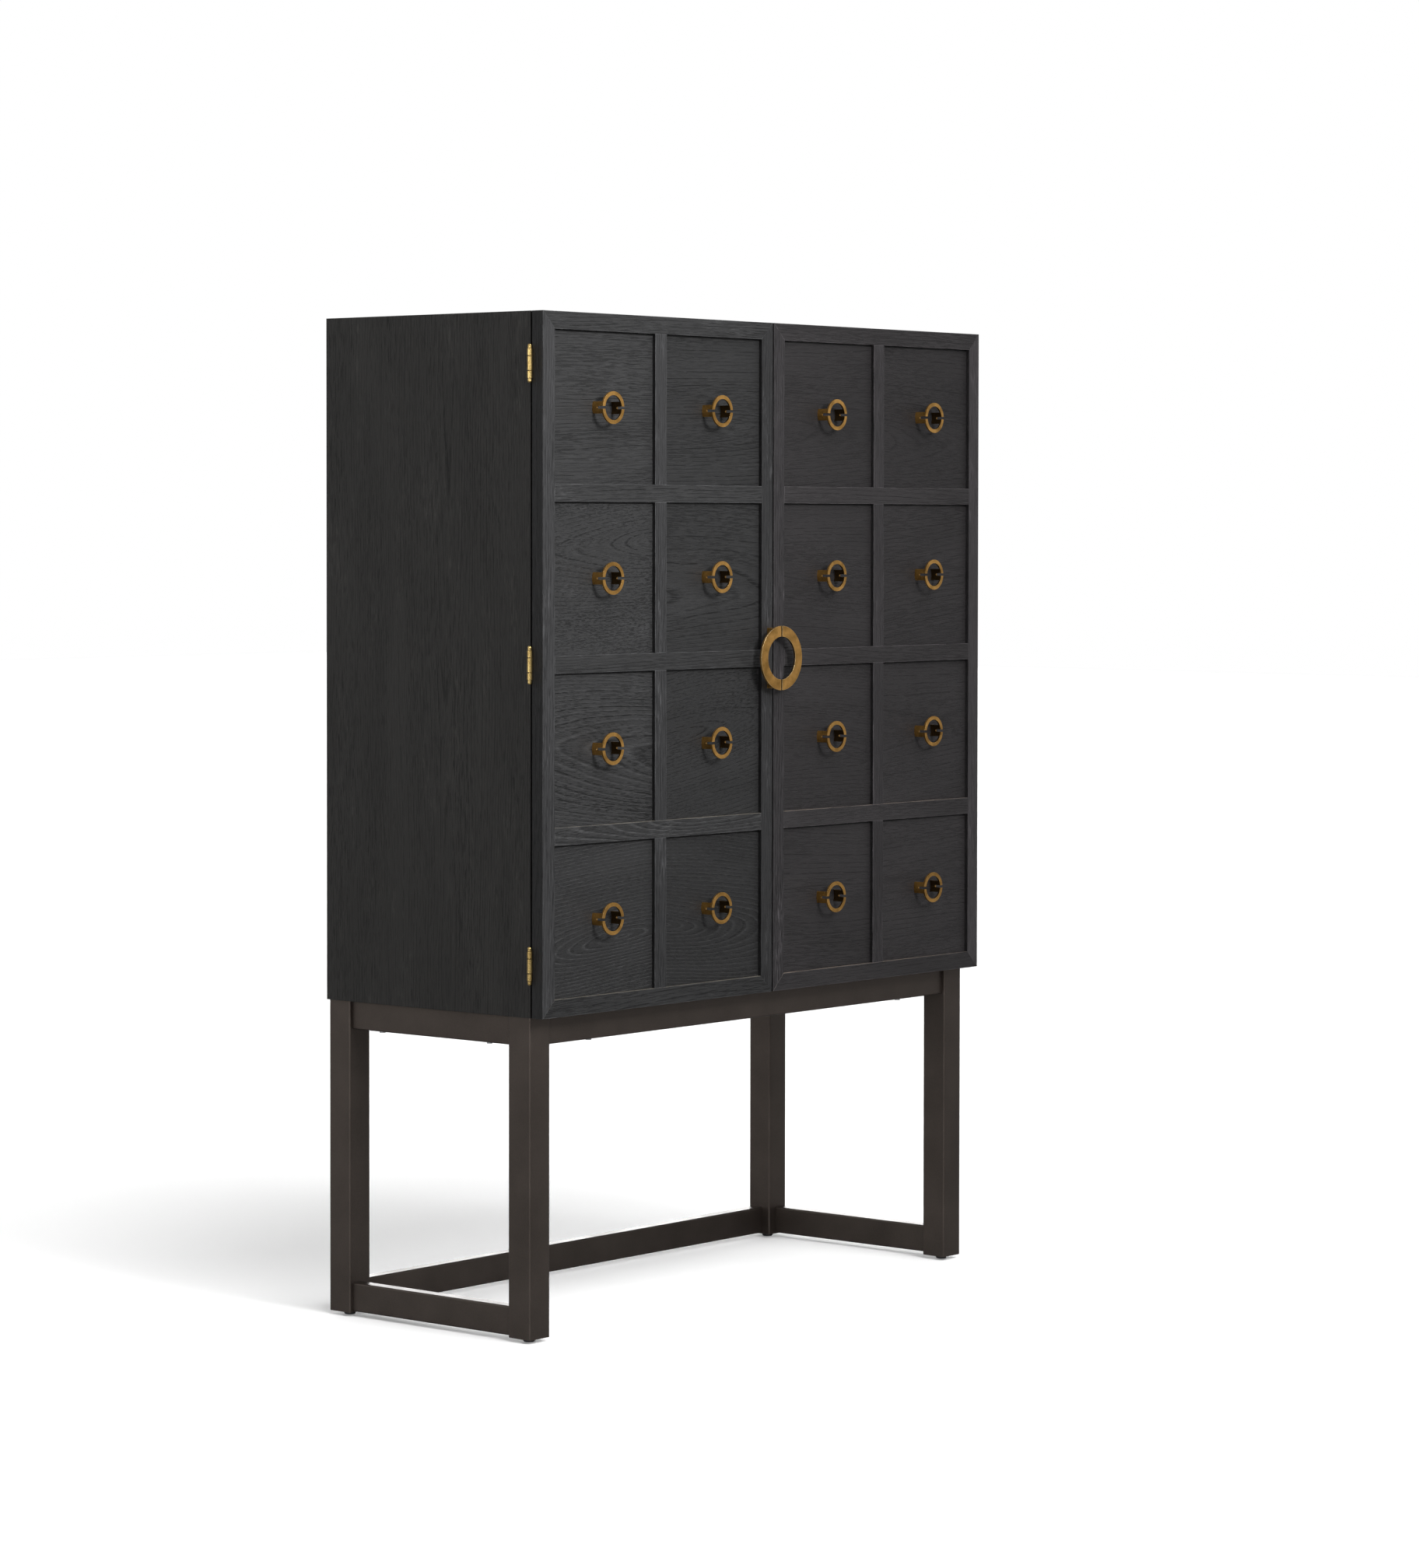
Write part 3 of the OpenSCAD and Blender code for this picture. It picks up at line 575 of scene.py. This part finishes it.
def case_boards():
    for side in ("left", "right"):
        boards(f"side_{side}", [f"side_{side}_oak"], "case_oak", side_oak, "z", "x", side=(20, 60), lean=0.5)
    for part in ("top_board", "bottom_board"):
        boards(part, [f"{part}_oak"], "case_oak", side_oak, "x", "z")
    boards("back_panel", ["back_panel_oak"], "inside_oak", inside_oak, "z", "y")
    boards("divider", ["divider_oak"], "inside_oak", inside_oak, "z", "x")
    names = [f"shelf_{level}_{bay}_oak" for level in (1, 2, 3) for bay in ("left", "right")]
    boards("shelves", names, "inside_oak", inside_oak, "x", "z")


# ---------- Metal and plastic ----------


def bronze():
    """Dark bronzed steel, with a slight mottling of the finish."""
    s = Shader("dark bronzed steel")
    place = s.place()
    cloud = s.even_noise(place, 9.0, detail=4.0, roughness=0.6)
    speck = s.even_noise(place, 420.0)
    tone = s.blended(cloud, speck, 0.7)
    colour = s.ramp(tone, (0.3, (0.068, 0.055, 0.047)), (0.7, (0.100, 0.081, 0.070)))
    edge = s.math("MULTIPLY", s.attribute("edge", "Fac"), 0.5)
    s.set(Base_Color=s.mix(edge, colour, (0.20, 0.17, 0.14)))
    s.set(Metallic=0.75, Roughness=s.span(tone, 0.3, 0.7, 0.36, 0.5))
    s.set(Normal=s.bump(speck, 0.02 * MM))
    return s.material


def brass(name, dark, bright, at_edges, roughness):
    """Brass with a cloudy patina, another colour on its edges, and painted shade on its inner walls where it
    is a ring.
    """
    s = Shader(name)
    place = s.place()
    cloud = s.even_noise(place, 56.0, detail=3.0, roughness=0.55)
    speck = s.even_noise(place, 720.0)
    tone = s.blended(cloud, speck, 0.85)
    colour = s.mix(s.span(tone, 0.35, 0.65, 0.0, 1.0), dark, bright)
    # Edge colour: pale on antique brass, rubbed wear with a painted highlight; dark on hinge brass, painted
    # shade
    colour = s.mix(s.math("MULTIPLY", s.attribute("edge", "Fac"), 0.8), colour, at_edges)
    # Painted shade: the inner walls of rings are made nearly black
    inside = s.math("MULTIPLY", s.attribute("inside", "Fac"), 0.85)
    s.set(Base_Color=s.mix(inside, colour, (0.03, 0.02, 0.01)), Metallic=0.88)
    s.set(Roughness=s.span(tone, 0.3, 0.7, roughness[1], roughness[0]))
    s.set(Normal=s.bump(speck, 0.01 * MM))
    return s.material


def zinc():
    """Zinc-plated steel, slightly clouded."""
    s = Shader("zinc-plated steel")
    cloud = s.even_noise(s.place(), 160.0, detail=3.0)
    s.set(Base_Color=s.ramp(cloud, (0.35, (0.42, 0.42, 0.44)), (0.65, (0.58, 0.58, 0.60))))
    s.set(Metallic=1.0, Roughness=s.span(cloud, 0.3, 0.7, 0.3, 0.45))
    s.set(Normal=s.bump(cloud, 0.01 * MM))
    return s.material


def nylon():
    """Black moulded nylon with a fine texture."""
    s = Shader("black nylon")
    grain = s.even_noise(s.place(), 900.0)
    s.set(Base_Color=s.ramp(grain, (0.3, (0.008, 0.008, 0.009)), (0.7, (0.018, 0.018, 0.019))))
    s.set(Roughness=s.span(grain, 0.3, 0.7, 0.4, 0.55), Normal=s.bump(grain, 0.03 * MM))
    return s.material


bronzed_steel = bronze()
# Antique brass: its pale edges are rubbed wear and a painted highlight
antique_brass = brass("antique brass", dark=(0.30, 0.16, 0.038), bright=(0.58, 0.315, 0.085),
                      at_edges=(1.0, 0.78, 0.45), roughness=(0.27, 0.42))
# Hinge brass: its dark edges are painted shade in the gaps between knuckles
hinge_brass = brass("polished hinge brass", dark=(0.45, 0.31, 0.11), bright=(0.62, 0.45, 0.18),
                    at_edges=(0.10, 0.06, 0.03), roughness=(0.2, 0.3))
zinc_steel = zinc()
black_nylon = nylon()

# ---------- Fittings ----------

FITTING_EASE = 0.25 * MM
KNOB_EASE = 0.9 * MM
PULL_EASE = 1.2 * MM
GLIDE_EASE = 0.4 * MM
SCREW_EASE = 0.3 * MM
CATCH_EASE = 0.5 * MM
PIN_EASE = 0.4 * MM
STRIKE_EASE = 0.15 * MM
RING_SEGMENTS = 3
# A hinge knuckle's radius, how far its ends are turned down, and how far they lie from the barrel's middle
KNUCKLE_R = 4.2 * MM
KNUCKLE_CHAMFER = 0.8 * MM
KNUCKLE_ENDS = (12.4 * MM, 25.4 * MM)
ON_KNUCKLE = 0.02 * MM


def fitting(node, material, ease=FITTING_EASE):
    """A CAD node of metal or plastic with its edges eased, or left sharp if ease is 0."""
    mesh = welded(node)
    if ease:
        ease_edges(mesh, ease)
    finish_piece(mesh, f"{node}_finish", node, material)


def looks_inwards(face, middle):
    """Whether a ring's face looks at the middle of the ring, rather than forwards or outwards."""
    inwards = middle - face.calc_center_median()
    inwards.y = 0.0
    return abs(face.normal.y) < 0.3 and face.normal.dot(inwards) > 0


def ring_fitting(node, ease, centre_x=None):
    """Rings that stand on the door. Their inner walls are painted dark as shade.

    centre_x is where the ring's middle lies if the node has only a part of the ring.
    """
    made = bmesh.new()
    inside = []
    for solid in solids_of(node):
        middle = middle_of(solid)
        if centre_x is not None:
            middle.x = centre_x
        ease_edges(solid, ease, RING_SEGMENTS)
        solid.normal_update()
        # Inner walls are marked for painted shade
        inside.extend(float(looks_inwards(face, middle)) for face in solid.faces)
        part = bpy.data.meshes.new("part of " + node)
        solid.to_mesh(part)
        solid.free()
        made.from_mesh(part)
        bpy.data.meshes.remove(part)
    piece = finish_piece(made, f"{node}_finish", node, antique_brass)
    piece.data.attributes.new("inside", "FLOAT", "FACE").data.foreach_set("value", inside)


def turn_down_knuckles(mesh, axis):
    """Chamfers the ends of the knuckles round one hinge pin, whose middle is axis."""
    ends = [axis.z + side * height for side in (-1, 1) for height in KNUCKLE_ENDS]
    for end in ends:
        for side in (-1, 1):
            cut_level(mesh, end + side * KNUCKLE_CHAMFER)
    for vert in mesh.verts:
        away = (vert.co - axis).xy
        at_end = any(abs(vert.co.z - end) < 0.5 * KNUCKLE_CHAMFER for end in ends)
        if at_end and abs(away.length - KNUCKLE_R) < ON_KNUCKLE:
            away *= 1 - KNUCKLE_CHAMFER / KNUCKLE_R
            vert.co.x = axis.x + away.x
            vert.co.y = axis.y + away.y


def hinge_leaves(node):
    """Hinge leaves, whose knuckles are turned down a little at their ends. The turned faces count as edges,
    and hinge brass paints them dark as the shade in the gaps.
    """
    mesh = welded(node)
    for pin in solids_of("hinge_pins"):
        turn_down_knuckles(mesh, middle_of(pin))
        pin.free()
    mark = mesh.faces.layers.float.new("edge")
    mesh.normal_update()
    # Turned knuckle ends are marked as edges, where hinge brass paints shade
    for face in mesh.faces:
        if 0.3 < abs(face.normal.z) < 0.95:
            face[mark] = 1.0
    finish_piece(mesh, f"{node}_finish", node, hinge_brass)


def stand():
    for part in ("leg_front_left", "leg_front_right", "leg_back_left", "leg_back_right",
                 "rail_front", "rail_back", "rail_left", "rail_right",
                 "stretcher_left", "stretcher_right", "stretcher_back", "leg_end_plates"):
        fitting(part, bronzed_steel)
    fitting("glides", black_nylon, GLIDE_EASE)
    fitting("stand_screws", zinc_steel, SCREW_EASE)


def case_hardware():
    fitting("shelf_pins", hinge_brass)
    fitting("catches", zinc_steel, CATCH_EASE)
    hinge_leaves("case_hinge_leaves")
    fitting("case_hinge_screws", hinge_brass, 0)
    fitting("hinge_pins", hinge_brass, PIN_EASE)


def door_hardware(side):
    for row in (1, 2, 3, 4):
        ring_fitting(f"{side}_knobs_row_{row}", KNOB_EASE)
    ring_fitting(f"{side}_pull", PULL_EASE, centre_x=0.0)
    fitting(f"{side}_knob_nuts", zinc_steel)
    fitting(f"{side}_pull_screws", zinc_steel)
    hinge_leaves(f"{side}_hinge_leaves")
    fitting(f"{side}_hinge_screws", hinge_brass, 0)
    fitting(f"{side}_strikes", zinc_steel, STRIKE_EASE)


door_boards("left")
door_boards("right")
case_boards()
stand()
case_hardware()
door_hardware("left")
door_hardware("right")

# ---------- Studio ----------

WHITE = (1.0, 1.0, 1.0, 1.0)
FLOOR_REACH = 30.0
# What the floor adds to its own light for the camera, and the grey that it reflects onto the object
FLOOR_GLOW = 0.19
FLOOR_BOUNCE = (0.22, 0.22, 0.22)
# Soft lights for the floor alone, which lay the shadow: azimuth, elevation, width in degrees, strength
FLOOR_LIGHTS = (
    ("floor light, front", 14, 39, 48, 1.6),
    ("floor light, right", -62, 50, 50, 0.55),
)
KEY_TARGET = Vector((-0.70, cad_low.y, 1.75))
KEY_ELEVATION = 20
KEY_DISTANCE = 4.2
KEY_SIZE = 1.4
KEY_POWER = 18
KEY_SPREAD = math.radians(49)
ROOM_LIGHT = 0.03
# Where each soft light of the room lies, the cosines at its edge and its core, and how bright it is.
# In order: the wall behind, the front right, the left, the camera's side, above, and the back right.
SOFT_BOXES = (
    ((-0.25, 0.97, 0.0), 0.0, 0.8, 0.80),
    ((0.77, -0.64, 0.1), 0.84, 0.97, 0.65),
    ((-0.985, -0.08, 0.12), 0.96, 0.985, 4.5),
    ((-0.66, -0.75, 0.12), 0.985, 0.997, 6.0),
    ((-0.06, -0.53, 0.83), 0.93, 0.97, 4.0),
    ((0.77, 0.63, 0.12), 0.97, 0.995, 8.0),
)
CAMERA_PLACE = (-6.2671, -5.3337, 1.3750)
CAMERA_YAW = math.radians(50.114)
CAMERA_PITCH = math.radians(1.580)
CAMERA_ROLL = math.radians(0.079)
SENSOR_WIDTH = 36.0
FOCAL_LENGTH = 104.66
LENS_SHIFT = -1 / 12


def floor():
    """A wide pale floor that looks white, and reflects less onto the object than it shows to the camera."""
    mesh = bmesh.new()
    bmesh.ops.create_grid(mesh, x_segments=8, y_segments=8, size=FLOOR_REACH)
    data = bpy.data.meshes.new("studio_floor")
    mesh.to_mesh(data)
    mesh.free()
    s = Shader("pale studio floor")
    pale = s.ramp(s.even_noise(s.place(), 3.0, detail=3.0), (0.3, 0.86), (0.7, 0.89))
    seen = s.add("LightPath").outputs["Is Camera Ray"]
    s.set(Base_Color=s.mix(seen, FLOOR_BOUNCE, pale), Roughness=0.7, Specular_IOR_Level=0.2)
    s.set(Emission_Color=WHITE, Emission_Strength=s.math("MULTIPLY", seen, FLOOR_GLOW))
    data.materials.append(s.material)
    piece = bpy.data.objects.new("studio_floor", data)
    bpy.context.scene.collection.objects.link(piece)
    return piece


def background(s, strength):
    shader = s.add("Background")
    s.put(shader.inputs["Color"], WHITE)
    s.put(shader.inputs["Strength"], strength)
    return shader.outputs[0]


def world():
    """A room that is white to the camera. Its soft boxes light the object and are mirrored in its gloss."""
    made = bpy.data.worlds.new("studio")
    made.use_nodes = True
    s = Nodes(made.node_tree)
    direction = s.add("TexCoord").outputs["Generated"]
    level = ROOM_LIGHT
    for towards, edge, core, strength in SOFT_BOXES:
        near = s.vector("DOT_PRODUCT", direction, Vector(towards).normalized())
        glow = s.span(near, edge, core, 0.0, strength, interpolation_type="SMOOTHSTEP")
        level = s.math("ADD", level, glow)
    choice = s.add("MixShader")
    seen = s.add("LightPath").outputs["Is Camera Ray"]
    s.put_all(choice, (seen, background(s, level), background(s, 1.0)))
    output = s.add("OutputWorld")
    s.put(output.inputs["Surface"], choice.outputs[0])
    bpy.context.scene.world = made


def lamp_object(light, target, azimuth, elevation, distance):
    """Hangs a light at a distance from its target. Azimuth 0 is in front of the doors and 90 on the left."""
    lamp = bpy.data.objects.new(light.name, light)
    around, up = math.radians(azimuth), math.radians(elevation)
    back = Vector((-math.sin(around) * math.cos(up), -math.cos(around) * math.cos(up), math.sin(up)))
    lamp.location = target + back * distance
    lamp.rotation_mode = "QUATERNION"
    lamp.rotation_quaternion = back.to_track_quat("Z", "Y")
    bpy.context.scene.collection.objects.link(lamp)
    return lamp


def key_light():
    """A soft box in front of the doors, aimed high so that the light falls off towards their lower right."""
    light = bpy.data.lights.new("key", "AREA")
    light.shape = "SQUARE"
    light.size = KEY_SIZE
    light.energy = KEY_POWER
    light.spread = KEY_SPREAD
    lamp_object(light, KEY_TARGET, 0, KEY_ELEVATION, KEY_DISTANCE)


def floor_lights(floor_piece):
    only_floor = bpy.data.collections.new("floor only")
    only_floor.objects.link(floor_piece)
    for name, azimuth, elevation, width, strength in FLOOR_LIGHTS:
        light = bpy.data.lights.new(name, "SUN")
        light.energy = strength
        light.angle = math.radians(width)
        lamp = lamp_object(light, Vector(), azimuth, elevation, 0.0)
        lamp.light_linking.receiver_collection = only_floor


def camera():
    """A long lens at the height of a seated eye, turned 50 degrees to the doors."""
    forward = Vector((math.sin(CAMERA_YAW) * math.cos(CAMERA_PITCH),
                      math.cos(CAMERA_YAW) * math.cos(CAMERA_PITCH),
                      -math.sin(CAMERA_PITCH)))
    level_right = Vector((math.cos(CAMERA_YAW), -math.sin(CAMERA_YAW), 0.0))
    level_up = level_right.cross(forward)
    right = level_right * math.cos(CAMERA_ROLL) + level_up * math.sin(CAMERA_ROLL)
    up = right.cross(forward)
    lens = bpy.data.cameras.new("camera")
    lens.sensor_fit = "AUTO"
    lens.sensor_width = SENSOR_WIDTH
    lens.lens = FOCAL_LENGTH
    lens.shift_y = LENS_SHIFT
    made = bpy.data.objects.new("camera", lens)
    turn = Matrix((right, up, -forward)).transposed()
    made.matrix_world = Matrix.Translation(CAMERA_PLACE) @ turn.to_4x4()
    bpy.context.scene.collection.objects.link(made)
    bpy.context.scene.camera = made


studio_floor = floor()
world()
key_light()
floor_lights(studio_floor)
camera()

view = bpy.context.scene.view_settings
view.view_transform = "Standard"
view.look = "None"
